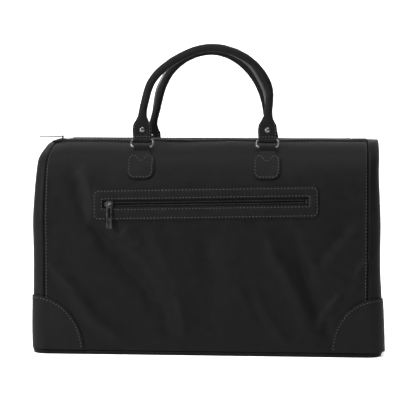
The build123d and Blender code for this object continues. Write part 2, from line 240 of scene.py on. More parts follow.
def makeMetal(name, look):
    material, tree, shader, place = newMaterial(name)
    smudge = addNode(tree, "ShaderNodeTexNoise", [("Vector", place)], Scale=look["smudge"], Detail=6.0,
                     Roughness=0.7)
    scratch = addNode(tree, "ShaderNodeTexNoise", [("Vector", place)], Scale=look["scratch"], Detail=2.0)
    ramp(tree, smudge.outputs["Fac"], [(0.3, look["worn"]), (0.6, look["tint"])], shader["Base Color"])
    ramp(tree, smudge.outputs["Fac"], list(zip((0.3, 0.75), look["roughness"])), shader["Roughness"])
    addBump(tree, scratch.outputs["Fac"], shader, look["bump"], look["scratchDepth"])
    shader["Metallic"].default_value = 1.0
    return material


bodyLeather = makeLeather("bodyLeather", leatherLook)
trimLeather = makeLeather("trimLeather", leatherLook, shift=0.001)
tapeWeave = makeWeave("tapeWeave", weaveLook)
liningWeave = makeWeave("liningWeave", weaveLook, lift=2.4)
thread = makeThread("thread", threadLook)
coilPlastic = makePlastic("coilPlastic", plasticLook)
boardPlastic = makePlastic("boardPlastic", plasticLook)
nickel = makeMetal("nickel", metalLook)
print("materials made")

# the body's plain form before folds and sag, in mm: half widths, half depths and heights
bagForm = {
    "baseWideLeft": 281, "shoulderWideLeft": 279, "topWideLeft": 263,
    "baseWideRight": 285.5, "shoulderWideRight": 277, "topWideRight": 274,
    "baseDeep": 120, "bellyDeep": 129, "shoulderDeep": 126, "topDeep": 44,
    "bellyHigh": 125, "shoulderHigh": 200, "top": 344,
    "corner": 25, "foot": 7.4, "seam": 258,
}


def profileAt(angleOrHeight, onShoulder):
    # half depth, height, outward and upward parts of the normal, and how far over the shoulder
    f = bagForm
    if onShoulder:
        c, s = cos(angleOrHeight), sin(angleOrHeight)
        reach, rise = f["shoulderDeep"] - f["topDeep"], f["top"] - f["shoulderHigh"]
        size = hypot(c / reach, s / rise)
        out, up = c / reach / size, s / rise / size
        return f["topDeep"] + reach * c, f["shoulderHigh"] + rise * s, out, up, sqrt(max(c, 0))
    z = angleOrHeight
    if z < f["bellyHigh"]:
        swell = sin(pi / 2 * (max(z, 0) / f["bellyHigh"]) ** 0.62)
        deep = f["baseDeep"] + (f["bellyDeep"] - f["baseDeep"]) * swell
    else:
        t = smooth(f["bellyHigh"], f["shoulderHigh"], z)
        deep = f["bellyDeep"] + (f["shoulderDeep"] - f["bellyDeep"]) * t
    return deep, z, 1.0, 0.0, 1.0


def profileAtHeight(z):
    f = bagForm
    if z <= f["shoulderHigh"]:
        return profileAt(z, False)
    share = min((z - f["shoulderHigh"]) / (f["top"] - f["shoulderHigh"]), 1.0)
    return profileAt(asin(share), True)


def widthAt(z, spread, side):
    f, hand = bagForm, "Right" if side > 0 else "Left"
    shoulder = f["shoulderWide" + hand]
    if z < f["shoulderHigh"]:
        return f["baseWide" + hand] + (shoulder - f["baseWide" + hand]) * smooth(-20, f["shoulderHigh"], z)
    return f["topWide" + hand] + (shoulder - f["topWide" + hand]) * spread


# soft creases of the front: points (x, z), depth in mm (minus is a valley) and half width in mm
frontFolds = [
    ([(-222, 310), (-197, 250), (-175, 208), (-146, 171), (-113, 138), (-88, 109), (-76, 55)], -7.0, 14.0),
    ([(-206, 300), (-188, 280), (-172, 262)], 1.8, 13.0),
    ([(-236, 140), (-210, 103), (-178, 59), (-120, 18)], 4.6, 11.0),
    ([(-252, 148), (-240, 138), (-226, 126)], 2.4, 6.0),
    ([(-132, 205), (-116, 190), (-104, 170)], 2.6, 13.0),
    ([(-93, 205), (-62, 155), (-44, 110), (-30, 50)], 2.0, 12.0),
    ([(-70, 90), (-62, 58), (-60, 26)], -2.6, 8.0),
    ([(-44, 90), (-36, 60), (-33, 30)], 2.4, 8.0),
    ([(-4, 198), (12, 140), (10, 84), (0, 40)], -3.6, 20.0),
    ([(54, 118), (66, 84), (78, 50)], 2.2, 9.0),
    ([(78, 106), (108, 55), (132, 18)], 3.0, 9.0),
    ([(96, 200), (117, 155), (136, 120), (150, 88), (170, 40)], 4.6, 11.0),
    ([(140, 198), (158, 142), (172, 100), (186, 60), (202, 22)], -6.0, 12.0),
    ([(230, 220), (202, 184), (172, 146)], -4.6, 12.0),
    ([(222, 106), (203, 84), (188, 64), (180, 42)], 4.6, 7.0),
    ([(264, 162), (251, 148), (238, 130)], 2.6, 6.0),
    ([(256, 128), (240, 112), (226, 96)], 2.2, 7.0),
    ([(-60, 207), (-30, 200), (40, 202)], -1.0, 12.0),
]
backFolds = [
    ([(-210, 250), (-160, 170), (-120, 60)], -3.6, 12.0),
    ([(-190, 262), (-150, 190), (-110, 120)], 2.6, 11.0),
    ([(160, 270), (120, 190), (90, 110)], -3.0, 13.0),
    ([(215, 200), (180, 110), (140, 30)], 2.8, 12.0),
    ([(-40, 190), (-20, 110), (-30, 40)], -2.2, 15.0),
    ([(40, 210), (50, 130), (30, 60)], 2.0, 14.0),
]


def nearFold(x, z, points):
    best, bestAlong = 1e9, 0.0
    runs = len(points) - 1
    for i in range(runs):
        (x0, z0), (x1, z1) = points[i], points[i + 1]
        dx, dz = x1 - x0, z1 - z0
        t = min(max(((x - x0) * dx + (z - z0) * dz) / (dx * dx + dz * dz), 0.0), 1.0)
        distance = hypot(x - x0 - t * dx, z - z0 - t * dz)
        if distance < best:
            best, bestAlong = distance, (i + t) / runs
    return best, bestAlong


pocketPlace = {"x": 0.0, "z": 246.0, "tilt": radians(1.2), "halfLong": 180.0, "halfHigh": 25.0}


# gentle unevenness of the leather: height in mm, steps per mm along x and z, and a place in the noise
unevenness = [(2.4, 0.011, 0.011, 3.1), (0.9, 0.034, 0.026, 7.7)]
deepestValley = 5.4


def reliefAt(x, z, face):
    # how far the leather stands off its plain form, in mm
    folds = frontFolds if face < 0 else backFolds
    total = 0.0
    for points, depth, width in folds:
        distance, along = nearFold(x, z, points)
        if distance < 3 * width:
            ends = smooth(0, 0.18, along) * smooth(0, 0.18, 1 - along)
            total += depth * bump(distance, width) * (0.25 + 0.75 * ends)
    for high, alongX, alongZ, place in unevenness:
        total += high * noise.noise(Vector((x * alongX, face * place, z * alongZ)))
    if face < 0:
        away = max(abs(x) - pocketPlace["halfLong"], abs(z - pocketPlace["z"]) - pocketPlace["halfHigh"])
        total *= smooth(-2, 22, away)
    total *= smooth(0, 14, z - bagForm["foot"]) * (1 - smooth(300, 326, z))
    return max(total, -deepestValley)


def endReliefAt(y, z, side):
    # the same for an end panel, which bulges at the right and sinks in at the left
    total = 2.0 * noise.noise(Vector((side * 5.0, y * 0.013, z * 0.012)))
    total += (0.2 + 0.8 * side) * cos(pi / 2 * min(abs(y) / 130, 1.0)) * sin(pi * min(z / 300, 1.0))
    return total * smooth(0, 14, z - bagForm["foot"]) * (1 - smooth(290, 326, z))


def between(value, table):
    # straight-line reading of a table of (place, amount)
    if value <= table[0][0]:
        return table[0][1]
    for (x0, y0), (x1, y1) in zip(table, table[1:]):
        if value <= x1:
            return y0 + (y1 - y0) * (value - x0) / (x1 - x0)
    return table[-1][1]


# how far the mouth's seam sags along the bag, in mm
mouthSag = [(-240, 2.2), (-170, 2.2), (-128, 4.0), (-104, 3.4), (-84, 1.2), (-35, 2.6), (0, 1.2), (35, 0.2),
            (70, 0.8), (100, 2.6), (125, 1.0), (180, 0.6), (240, 0.8)]


settleSize = {"sink": 3.6, "backSink": 2.2, "cornerIn": 6.0, "cornerDown": 3.0}


def settle(co):
    # the panels sink a little below the zip bands, and the left top corner rounds off; co is in mm
    x, y, z = co
    high = smooth(306, 344, z)
    leftEnd = smooth(222, 268, -x)
    p = settleSize
    sink = (p["sink"] + between(x, mouthSag) + p["backSink"] * smooth(0, 40, y)) * smooth(316, 344, z)
    return Vector((x + p["cornerIn"] * high * leftEnd, y, z - sink - p["cornerDown"] * high * leftEnd))


seamForm = {"deep": 1.4, "wide": 1.3, "lip": 0.5, "lipAt": 4.5, "lipWide": 2.5}


def seamTuck(fromSeam):
    # both panels turn in at a seam, with a low lip beside it
    p = seamForm
    return -p["deep"] * bump(fromSeam, p["wide"]) + p["lip"] * bump(fromSeam - p["lipAt"], p["lipWide"])


def skinPoint(s, z, face, off=0.0, profile=None):
    # s: distance along the perimeter from the face's centre line, in mm; beyond the seam it runs onto the end
    f = bagForm
    deep, height, out, up, spread = profile or profileAtHeight(z)
    side = 1 if s >= 0 else -1
    wide, r = widthAt(height, spread, side), f["corner"]
    flat, a = wide - r, abs(s)
    if a <= flat:
        x, y, nx, ny = a, deep, 0.0, 1.0
    elif a <= flat + r * pi / 2:
        turn = (a - flat) / r
        x, y = flat + r * sin(turn), deep - r + r * cos(turn)
        nx, ny = sin(turn), cos(turn)
    else:
        x, y, nx, ny = wide, deep - r - (a - flat - r * pi / 2), 1.0, 0.0
    normal = Vector((side * nx, face * ny * out, up * (ny + 0.3 * nx))).normalized()
    stand = off
    if ny > 0:
        stand += reliefAt(side * x, height, face) * ny
    if nx > 0:
        stand += endReliefAt(face * y, height, side) * nx
    return settle(Vector((side * x, face * y, height)) + normal * stand), normal


def seamDistance(height, spread, side):
    f = bagForm
    flat = widthAt(height, spread, side) - f["corner"]
    if f["seam"] <= flat:
        return f["seam"]
    return flat + f["corner"] * asin(min((f["seam"] - flat) / f["corner"], 1.0))


def profileRows(foot=bagForm["foot"], wallRows=66, shoulderRows=72):
    # even steps up the wall, over the shoulder and in to the mouth
    wall = bagForm["shoulderHigh"] - foot
    rows = [profileAt(foot + wall * i / wallRows, False) for i in range(wallRows)]
    return rows + [profileAt(pi / 2 * i / shoulderRows, True) for i in range(shoulderRows + 1)]


windowPlace = {"halfLong": 166.0, "halfHigh": 8.5, "depth": 5.0}


def windowRecess(x, z):
    along = x * cos(pocketPlace["tilt"]) + (z - pocketPlace["z"]) * sin(pocketPlace["tilt"])
    across = (z - pocketPlace["z"]) * cos(pocketPlace["tilt"]) - x * sin(pocketPlace["tilt"])
    inside = min(windowPlace["halfLong"] - abs(along), windowPlace["halfHigh"] - abs(across))
    return -windowPlace["depth"] * smooth(-0.5, 1.5, inside)


# beyond the last row the leather dips into the seam and turns up as a collar along the band's edge, in mm:
# (how far in from the last row, how far below it or None for the collar's top)
collarRows = [(0.9, 1.0), (1.6, 1.0), (2.2, 0.4), (2.5, None)]
collarTop = {"front": 343.3, "back": 341.0, "follow": 0.55}


panelSize = {"thick": 1.8, "across": 300, "endAcross": 120}


def makeFacePanel(name, face, replaced):
    rows = profileRows()
    total = len(rows) - 1 + len(collarRows)
    bm = bmesh.new()
    bmesh.ops.create_grid(bm, x_segments=panelSize["across"], y_segments=total, size=1.0)
    for vert in bm.verts:
        u = vert.co.x
        i = round((vert.co.y + 1) / 2 * total)
        profile = rows[min(i, len(rows) - 1)]
        side = 1 if u >= 0 else -1
        limit = seamDistance(profile[1], profile[4], side)
        s = u * limit
        off = seamTuck(limit - abs(s))
        if face < 0:
            off += windowRecess(s, profile[1])
        co = skinPoint(s, profile[1], face, off, profile)[0]
        beyond = i - (len(rows) - 1)
        if beyond > 0:
            inward, below = collarRows[beyond - 1]
            co.y -= face * inward
            top = collarTop["front" if face < 0 else "back"] - collarTop["follow"] * between(co.x, mouthSag)
            co.z = max(top, co.z) if below is None else co.z - below
        vert.co = co * mm
    if face > 0:
        bmesh.ops.reverse_faces(bm, faces=bm.faces)
    obj = addObject(name, meshFrom(bm, name, recalc=False), bodyLeather, "shell", replaced)
    giveThickness(obj, panelSize["thick"] * mm)


makeFacePanel("frontPanelLeather", -1, ["front_panel"])
makeFacePanel("backPanelLeather", 1, ["back_panel"])
print("front and back panels made")


def endSkin(t, profile, side, off=0.0):
    # t from -1 at the front seam to 1 at the back seam
    f = bagForm
    deep, height, spread = profile[0], profile[1], profile[4]
    wide, r = widthAt(height, spread, side), f["corner"]
    start = seamDistance(height, spread, side)
    middle = wide - r + r * pi / 2 + deep - r
    face = -1 if t <= 0 else 1
    s = side * (start + (middle - start) * (1 - abs(t)))
    return skinPoint(s, height, face, off, profile)


# the end panel's top edge stands up beside the tab, and its last two rows turn in under the tab, in mm
endTop = {"raise": 2.4, "inset": 2, "draw": 0.93, "rows": (0.4, -2.5)}


def makeEndPanel(name, side, replaced):
    rows = profileRows()
    bm = bmesh.new()
    bmesh.ops.create_grid(bm, x_segments=panelSize["endAcross"], y_segments=len(rows) + 1, size=1.0)
    for vert in bm.verts:
        t = vert.co.x
        i = round((vert.co.y + 1) / 2 * (len(rows) + 1))
        profile = rows[min(i, len(rows) - 1)]
        co = endSkin(t, profile, side, seamTuck((1 - abs(t)) * profile[0]))[0]
        co.z += endTop["raise"] * smooth(322, 344, profile[1])
        if i > len(rows) - 1:
            co.x = side * (bagForm["seam"] - endTop["inset"])
            co.y *= endTop["draw"]
            co.z += endTop["rows"][i - len(rows)]
        vert.co = co * mm
    if side < 0:
        bmesh.ops.reverse_faces(bm, faces=bm.faces)
    obj = addObject(name, meshFrom(bm, name, recalc=False), bodyLeather, "shell", replaced)
    giveThickness(obj, panelSize["thick"] * mm)


makeEndPanel("leftEndLeather", -1, ["left_end_panel"])
makeEndPanel("rightEndLeather", 1, ["right_end_panel"])
print("end panels made")


def gridPiece(cols, rows, place, wrap=False, fillEnds=False, flip=False):
    # a grid of points, each laid out in mm by a function of two shares from 0 to 1
    bm = bmesh.new()
    bmesh.ops.create_grid(bm, x_segments=cols, y_segments=rows, size=1.0)
    for vert in bm.verts:
        u, v = (vert.co.x + 1) / 2, (vert.co.y + 1) / 2
        vert.co = place(u, v) * mm
    if wrap:
        bmesh.ops.remove_doubles(bm, verts=bm.verts, dist=0.002 * mm)
    if fillEnds:
        bmesh.ops.holes_fill(bm, edges=[e for e in bm.edges if e.is_boundary], sides=0)
    if flip:
        bmesh.ops.reverse_faces(bm, faces=bm.faces)
    return bm


# stitching: short raised beads of thread along a path of (point, normal), in mm
stitchSize = {"pitch": 5.4, "long": 3.0, "wide": 1.2, "high": 1.0}


def addBead(bm, place, along, normal, size):
    along = along.normalized()
    across = normal.cross(along).normalized()
    up = along.cross(across)
    turn = Matrix((along, across, up)).transposed().to_4x4()
    scale = Matrix.Diagonal((size[0] / 2, size[1] / 2, size[2] / 2, 1))
    where = Matrix.Translation(place * mm) @ turn @ Matrix.Scale(mm, 4) @ scale
    bmesh.ops.create_icosphere(bm, subdivisions=1, radius=1.0, matrix=where)


def sewAlong(bm, path, pitch=None, closed=False):
    size = (stitchSize["long"], stitchSize["wide"], stitchSize["high"])
    pitch = pitch or stitchSize["pitch"]
    if closed:
        path = path + [path[0]]
    lengths = [(path[i + 1][0] - path[i][0]).length for i in range(len(path) - 1)]
    count = max(int(sum(lengths) / pitch), 1)
    step, i, walked = sum(lengths) / count, 0, 0.0
    for k in range(count):
        target = (k + 0.5) * step
        while i < len(lengths) - 1 and walked + lengths[i] < target:
            walked += lengths[i]
            i += 1
        t = (target - walked) / max(lengths[i], 1e-6)
        place = path[i][0].lerp(path[i + 1][0], t)
        normal = path[i][1].lerp(path[i + 1][1], t).normalized()
        addBead(bm, place, path[i + 1][0] - path[i][0], normal, size)


def finishSewing(bm, name, body):
    addObject(name, meshFrom(bm, name, recalc=False), thread, body)


# seams of the shell, in mm: how far the side seams' thread lies from the seam, and both threads' height
shellSeams = {"inset": 3.4, "sideProud": 0.9, "topProud": 0.75, "topTurn": radians(84), "topHalf": 252}
shellSewing = bmesh.new()
for face in (-1, 1):
    for side in (-1, 1):
        path = []
        for profile in profileRows()[6:130]:
            limit = seamDistance(profile[1], profile[4], side) - shellSeams["inset"]
            path.append(skinPoint(side * limit, profile[1], face, shellSeams["sideProud"], profile))
        sewAlong(shellSewing, path)
    for side in (-1, 1):
        profile = profileAt(shellSeams["topTurn"], True)
        sewAlong(shellSewing, [skinPoint(side * x, 0, face, shellSeams["topProud"], profile)
                               for x in range(0, shellSeams["topHalf"], 3)])
finishSewing(shellSewing, "shellStitching", "shell")

# corner patches: rounded leather pieces over the four lower corners, in mm
patchSize = {"wide": 80, "high": 91, "base": 5, "foot": 8.2, "proud": 1.9, "thick": 1.6, "rim": 0.45,
             "stitchIn": 4.0, "stitchLow": 9, "stitchShare": 0.955}


def patchPoint(a, z, face, side, off):
    profile = profileAtHeight(z)
    flat = widthAt(z, 1.0, side) - bagForm["corner"]
    middle = flat + bagForm["corner"] * pi / 4
    return skinPoint(side * (middle + a), z, face, off, profile)


def makeCornerPatch(face, side, name, replaced, sewing):
    p = patchSize

    def place(u, v):
        a = p["wide"] * sin((u * 2 - 1) * pi / 2 * 0.985)
        top = p["base"] + p["high"] * sqrt(max(1 - (a / p["wide"]) ** 2, 0.0))
        z = p["foot"] + max(top - p["foot"], 0.3) * v
        return patchPoint(a, z, face, side, p["proud"])[0]
    bm = gridPiece(72, 36, place, flip=face * side > 0)
    obj = addObject(name, meshFrom(bm, name, recalc=False), trimLeather, "shell", replaced)
    giveThickness(obj, p["thick"] * mm, rim=p["rim"] * mm)
    path = []
    for i in range(73):
        turn = pi * p["stitchShare"] * (i / 72 - 0.5)
        a = (p["wide"] - p["stitchIn"]) * sin(turn)
        z = p["base"] + (p["high"] - p["stitchIn"]) * cos(turn)
        path.append(patchPoint(a, max(z, p["stitchLow"]), face, side, p["proud"] + 0.25))
    sewAlong(sewing, path)


patchSewing = bmesh.new()
for face, faceName in faces:
    for side, sideName in sides:
        node = f"{faceName}_{sideName}_corner_patch"
        makeCornerPatch(face, side, f"{faceName}{sideName.title()}CornerPatch", [node], patchSewing)
finishSewing(patchSewing, "patchStitching", "shell")
print("corner patches made")

# pocket frame: a sewn-on leather surround of the zip window, in mm
frameSize = {"halfLong": 180, "halfHigh": 25, "corner": 8, "drop": 1.6,
             "innerLong": 163, "innerHigh": 5.4, "innerCorner": 1.6, "wave": 0.45, "lipWave": 0.5,
             "stitchShares": (0.17, 0.84), "stitchHigh": 1.75}
# its section from the window out: (share of the way out, height over the panel)
frameSection = [(0.0, -2.4), (0.03, 0.6), (0.08, 1.8), (0.13, 1.9), (0.17, 1.45), (0.22, 1.9), (0.5, 2.2),
                (0.78, 2.0), (0.84, 1.5), (0.9, 2.0), (0.96, 1.8), (0.99, 1.2), (1.0, -0.4)]


def roundedOutline(u, halfLong, halfHigh, corner):
    # the four sides and corners take fixed shares of the way round
    shares = [0.37, 0.04, 0.05, 0.04] * 2
    sides = [2 * (halfLong - corner), corner * pi / 2, 2 * (halfHigh - corner), corner * pi / 2] * 2
    turn, place = 0.0, Vector((-(halfLong - corner), -halfHigh))
    rest = u % 1.0
    for i, (share, length) in enumerate(zip(shares, sides)):
        t = min(rest / share, 1.0)
        if i % 2 == 0:
            place = place + Vector((cos(turn), sin(turn))) * length * t
        else:
            centre = place + Vector((-sin(turn), cos(turn))) * corner
            bend = turn + pi / 2 * t
            place = centre + Vector((sin(bend), -cos(bend))) * corner
            turn = bend if t < 1 else turn + pi / 2
        rest -= share
        if rest <= 0:
            break
    return place


def pocketPoint(a, b, off):
    tilt = pocketPlace["tilt"]
    x = pocketPlace["x"] + a * cos(tilt) - b * sin(tilt)
    z = pocketPlace["z"] + a * sin(tilt) + b * cos(tilt) * 0.985
    return skinPoint(x, z, -1, off)


def frameOutline(u, share):
    f = frameSize
    inner = roundedOutline(u, f["innerLong"], f["innerHigh"], f["innerCorner"])
    outer = roundedOutline(u, f["halfLong"], f["halfHigh"], f["corner"]) - Vector((0, f["drop"]))
    return inner.lerp(outer, share)


def makePocketFrame():
    def place(u, v):
        spot = v * (len(frameSection) - 1)
        share = between(spot, [(i, s) for i, (s, h) in enumerate(frameSection)])
        high = between(spot, [(i, h) for i, (s, h) in enumerate(frameSection)])
        flatPlace = frameOutline(u, share)
        wave = frameSize["wave"] * noise.noise(Vector((flatPlace.x * 0.05, flatPlace.y * 0.12, 4.0)))
        wave *= smooth(0.1, 0.3, share)
        if share < 0.3:
            flatPlace.y += frameSize["lipWave"] * noise.noise(Vector((flatPlace.x * 0.06, 9.0, 2.0)))
        return pocketPoint(flatPlace.x, flatPlace.y, high + wave)[0]
    bm = gridPiece(400, (len(frameSection) - 1) * 2, place, wrap=True, flip=True)
    name = "pocketFrameLeather"
    addObject(name, meshFrom(bm, name), trimLeather, "shell", ["pocket_frame"])
    sewing = bmesh.new()
    for share in frameSize["stitchShares"]:
        path = []
        for i in range(400):
            flatPlace = frameOutline(i / 400, share)
            path.append(pocketPoint(flatPlace.x, flatPlace.y, frameSize["stitchHigh"]))
        sewAlong(sewing, path, closed=True)
    finishSewing(sewing, "pocketStitching", "shell")


makePocketFrame()
print("pocket frame made")

# zip coils: one small slanted bead for each turn of the coil, in mm
coilSize = {"pitch": 1.45, "across": 3.1, "along": 0.95, "high": 2.3, "aside": 2.15, "slant": 0.22,
            "pocketHalf": 158.5, "mainHalf": 231.5}


def makeCoil(name, node, middle, alongDir, normal, side, half, body):
    # middle: the zip's centre in mm; side: which way across the chain's half lies
    bm = bmesh.new()
    across = normal.cross(alongDir).normalized()
    size = (coilSize["across"], coilSize["along"], coilSize["high"])
    count = int(2 * half / coilSize["pitch"])
    for k in range(count):
        x = -half + (k + 0.5 + 0.25 * side) * coilSize["pitch"]
        place = middle + alongDir * x + across * side * coilSize["aside"]
        lean = (across + alongDir * coilSize["slant"] * side).normalized()
        addBead(bm, place, lean, normal, size)
    addObject(name, meshFrom(bm, name, recalc=False), coilPlastic, body, [node])


def boxMiddle(node):
    low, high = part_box(node)
    return (low + high) / 2 / mm


def pocketZipLine():
    # the pocket zip's centre, and its directions along and out of the bag, from its joint and its chains
    joint = next(j for j in frame["joints"] if j["name"] == "pocket_zip_slide")
    along = Vector(joint["axis"]).normalized()
    out, up = profileAtHeight(pocketPlace["z"])[2:4]
    normal = Vector((0, -out, up)).normalized()
    middle = (boxMiddle("pocket_zip_upper_chain") + boxMiddle("pocket_zip_lower_chain")) / 2
    return middle, along, normal


pocketZip = pocketZipLine()
for side, half in ((1, "Upper"), (-1, "Lower")):
    makeCoil(f"pocket{half}Coil", f"pocket_zip_{half.lower()}_chain", *pocketZip, side,
             coilSize["pocketHalf"], "shell")
mainMiddle = (boxMiddle("front_zip_chain") + boxMiddle("back_zip_chain")) / 2
for side, faceName in faces:
    node, body = f"{faceName}_zip_chain", f"{faceName}_band"
    makeCoil(f"{faceName}Coil", node, mainMiddle, Vector((1, 0, 0)), Vector((0, 0, 1)), side,
             coilSize["mainHalf"], body)
print("zip coils made")

# top bands: soft strips beside the main zip, sewn along both edges, in mm
bandSize = {"puff": 0.6, "wave": 0.7, "thin": 1.5, "square": 0.32, "frontSag": 0.4, "backSag": 2.6,
            "followSag": 0.55, "around": 28, "along": 150, "stitchIn": 3.2}


def makeBand(face, name, node, body):
    low, high = [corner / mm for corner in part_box(node)]
    outer, inner = (low.y, high.y) if face < 0 else (high.y, low.y)
    b = bandSize
    width = abs(inner - outer)

    def bandSag(x, y):
        # the outer edge follows the sagging seam, and the zip's side stays level
        sag = b["backSag" if face > 0 else "frontSag"] + b["followSag"] * between(x, mouthSag)
        return sag * smooth(19, 34, abs(y))

    def lift(x, share):
        wave = b["wave"] * noise.noise(Vector((x * 0.018, face * 5.0, 0.5)))
        return (b["puff"] + wave) * sin(pi * share) ** 0.7 - b["thin"]

    def place(u, v):
        x = low.x + (high.x - low.x) * v
        turn = u * 2 * pi
        across = width / 2 * signedPower(cos(turn), b["square"])
        rise = (high.z - low.z) / 2 * signedPower(sin(turn), b["square"])
        y = (inner + outer) / 2 + face * across
        z = (low.z + high.z) / 2 + rise
        if sin(turn) > 0:
            z += lift(x, across / width + 0.5)
        return Vector((x, y, z - bandSag(x, y)))
    bm = gridPiece(b["around"], b["along"], place, wrap=True, fillEnds=True)
    addObject(name, meshFrom(bm, name), bodyLeather, body, [node])
    sewing = bmesh.new()
    for inset in (b["stitchIn"], width - b["stitchIn"]):
        path = []
        for i in range(b["along"] + 1):
            x = low.x + 3 + (high.x - low.x - 6) * i / b["along"]
            y = outer - face * inset
            top = high.z + lift(x, 1 - inset / width) - bandSag(x, y)
            path.append((Vector((x, y, top + 0.1)), Vector((0, 0, 1))))
        sewAlong(sewing, path)
    finishSewing(sewing, name + "Stitching", body)


for face, faceName in faces:
    makeBand(face, f"{faceName}BandLeather", f"{faceName}_top_band", f"{faceName}_band")
print("bands made")

# chapes: the sewn leather tongues that hold the rings, in mm
chapeSize = {"half": 21.5, "neck": 13.0, "drop": 45.0, "corner": 13.0, "neckDrop": 6.0, "proud": 2.7,
             "flareDrop": 14.0, "loopRadius": 3.15, "thick": 2.0, "rim": 0.4, "stitchIn": 3.0, "stitchTop": 8,
             "top": 5.0, "notchHalf": 11.5, "notchTop": 8.5, "notchDeep": 10.5}


def jointPlace(name):
    joint = next(j for j in frame["joints"] if j["name"] == name)
    return Vector(joint["pos_m"]) / mm


def chapeHalf(drop):
    # half width at a distance below the top of the tongue
    c = chapeSize
    fromBottom = c["drop"] - drop
    if fromBottom < c["corner"]:
        return c["half"] - c["corner"] + sqrt(max(c["corner"] ** 2 - (c["corner"] - fromBottom) ** 2, 0.0))
    return between(drop, [(0, c["neck"]), (c["neckDrop"], c["neck"] + 0.5), (c["flareDrop"], c["half"])])


def makeChape(face, x, name, node, sewing):
    c = chapeSize
    bar = jointPlace("front_ring_hinge" if face < 0 else "back_ring_hinge")
    tongueTop = bar.z - c["top"]
    flatRows, loopRows = 46, 22
    total = flatRows + loopRows

    def rowPlace(row, across):
        if row <= flatRows:
            drop = c["drop"] * (1 - row / flatRows) if row else c["drop"] - 0.02
            half = max(chapeHalf(drop), 2.0)
            point, normal = skinPoint(x + across * half, tongueTop - drop, face, c["proud"])
            return point + normal * 1.2 * smooth(10, 0, drop)
        turn = radians(-28 + 250 * (row - flatRows) / loopRows)
        deep = abs(bar.y) + c["loopRadius"] * cos(turn)
        return Vector((x + across * c["neck"], face * deep, bar.z + c["loopRadius"] * sin(turn)))
    bm = gridPiece(18, total, lambda u, v: rowPlace(round(v * total), 2 * u - 1), flip=face > 0)
    obj = addObject(name, meshFrom(bm, name, recalc=False), trimLeather, "shell", [node])
    giveThickness(obj, c["thick"] * mm, rim=c["rim"] * mm)
    inset = c["stitchIn"]
    side = [drop for drop in (c["stitchTop"] + i * 0.75 for i in range(49)) if drop < c["drop"] - inset - 0.5]
    path = [(x - max(chapeHalf(d) - inset, 0), tongueTop - d) for d in side]
    bottom = tongueTop - c["drop"] + inset
    reach = max(chapeHalf(side[-1]) - inset, 1.0)
    path += [(x - reach + 2 * reach * i / 12, bottom) for i in range(1, 12)]
    path += [(2 * x - px, pz) for px, pz in path[:len(side)][::-1]]
    sewAlong(sewing, [skinPoint(px, pz, face, c["proud"] + 0.2) for px, pz in path])
    for direction in (-1, 1):
        slant = [(x + direction * c["notchHalf"] * (1 - i / 8),
                  tongueTop - c["notchTop"] - c["notchDeep"] * i / 8) for i in range(9)]
        sewAlong(sewing, [skinPoint(px, pz, face, c["proud"] + 0.2) for px, pz in slant])


chapeSewing = bmesh.new()
for face, faceName in faces:
    for side, sideName in sides:
        node = f"{faceName}_{sideName}_chape"
        x = boxMiddle(node).x
        makeChape(face, x, f"{faceName}{sideName.title()}Chape", node, chapeSewing)
finishSewing(chapeSewing, "chapeStitching", "shell")
print("chapes made")

# handles: rolled grips with flat flared tabs folded round the rings, in mm; half widths and thicknesses are
# given by height over the ring's bar
handleSize = {
    "loop": 3.45, "loopWide": 29.0, "loopThick": 1.9, "rivetHigh": 16.5, "gripStart": 48, "pitch": 4.4,
    "seamTurn": 0.38, "wrinkle": 0.35, "tabStitch": (3, 28), "tabStitchIn": 2.6, "lowStitchHalf": 10,
    "half": [(0, 14.3), (8, 15.0), (16, 15.5), (25, 14.4), (32, 10.2), (39, 7.2), (46.5, 6.3), (60, 6.25)],
    "thick": [(0, 2.7), (13, 2.9), (22, 3.3), (30, 4.4), (38, 5.8), (46, 6.25)],
}
handleLines = {
    # the grip's line between its tabs: x, and height over the floor
    "front": [(-105, 388), (-99, 408), (-93, 438), (-61, 469), (3, 500), (71, 476), (101, 432),
              (99.5, 408), (98, 388)],
    "back": [(-106, 366), (-98, 390), (-92, 425), (-68, 468), (-10, 494), (45, 474), (79, 429),
             (88, 392), (91, 366)],
}


def sampleLine(points, perSpan=14):
    curve = bpy.data.curves.new("line", "CURVE")
    curve.dimensions = "3D"
    spline = curve.splines.new("NURBS")
    spline.points.add(len(points) - 1)
    for point, place in zip(spline.points, points):
        point.co = (*place, 1)
    spline.order_u = 4
    spline.use_endpoint_u = True
    spline.resolution_u = perSpan
    obj = bpy.data.objects.new("line", curve)
    mesh = bpy.data.meshes.new_from_object(obj)
    line = [v.co.copy() for v in mesh.vertices]
    bpy.data.meshes.remove(mesh)
    bpy.data.objects.remove(obj)
    bpy.data.curves.remove(curve)
    return line


